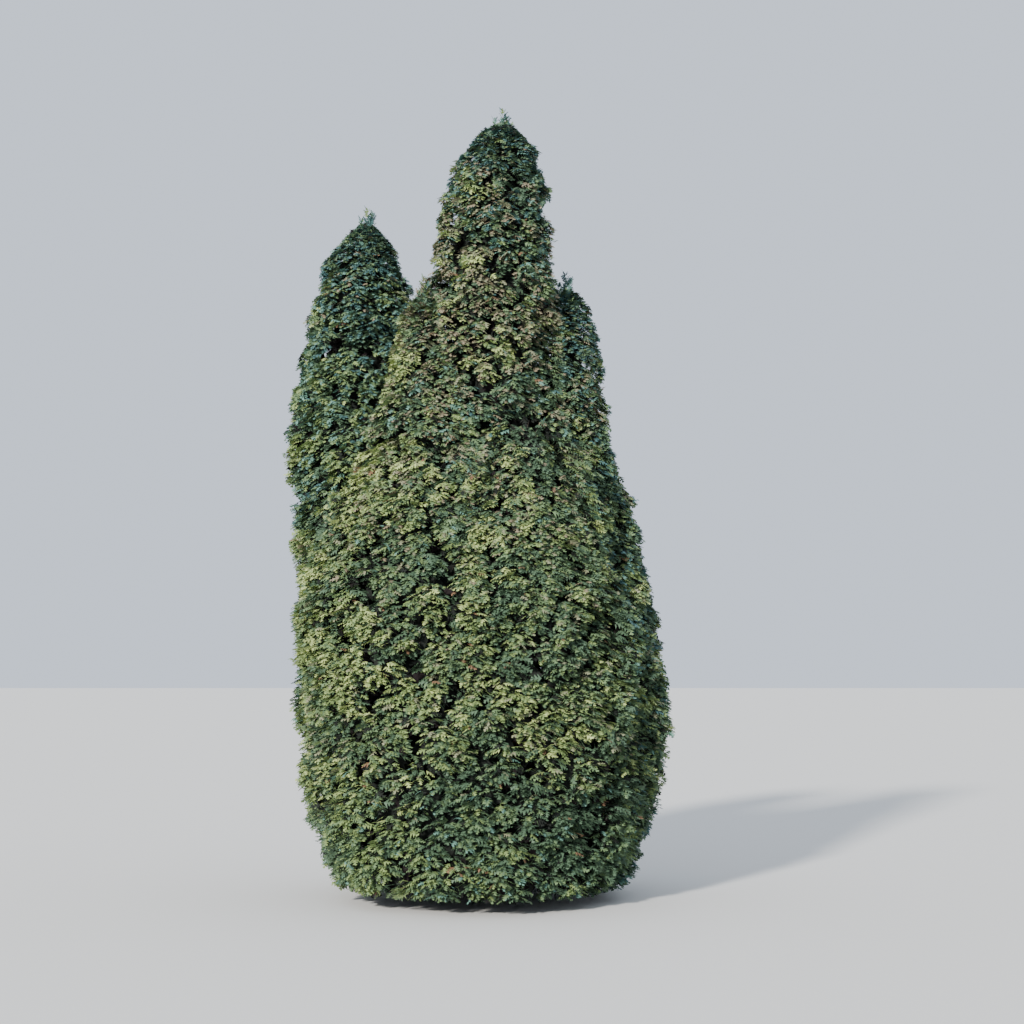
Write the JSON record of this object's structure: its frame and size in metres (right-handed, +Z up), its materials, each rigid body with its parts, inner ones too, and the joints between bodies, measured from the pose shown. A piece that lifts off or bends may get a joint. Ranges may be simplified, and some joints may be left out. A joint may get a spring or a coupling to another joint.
{
  "type": "cedar tree",
  "caption": "Dense upright cedar with flat scale-leaf sprays to the ground, several pointed leaders on upright stems from one flared trunk, fixed at a flat cut at ground level.",
  "frame": {"origin": "middle of the flat cut under the trunk, at ground level", "axes": "+Z up the trunk, -Y towards the side that the picture shows, +X to its right"},
  "size_m": [2.682, 2.6164, 5.24],
  "materials": {
    "bark": "matte",
    "foliage": "matte"
  },
  "bodies": {
    "root": {"trunk": "bark", "stem_right": "bark", "stem_front_right": "bark", "stem_front_left": "bark", "stem_left": "bark", "stem_rear_left": "bark", "stem_rear": "bark", "stem_rear_right": "bark", "foliage_main_1": "foliage", "foliage_main_2": "foliage", "foliage_right_1": "foliage", "foliage_right_2": "foliage", "foliage_right_3": "foliage", "foliage_front_right_1": "foliage", "foliage_front_right_2": "foliage", "foliage_front_left_1": "foliage", "foliage_front_left_2": "foliage", "foliage_front_left_3": "foliage", "foliage_left_1": "foliage", "foliage_left_2": "foliage", "foliage_rear_left_1": "foliage", "foliage_rear_left_2": "foliage", "foliage_rear_left_3": "foliage", "foliage_rear_1": "foliage", "foliage_rear_2": "foliage", "foliage_rear_right_1": "foliage", "foliage_rear_right_2": "foliage"}
  },
  "joints": []
}
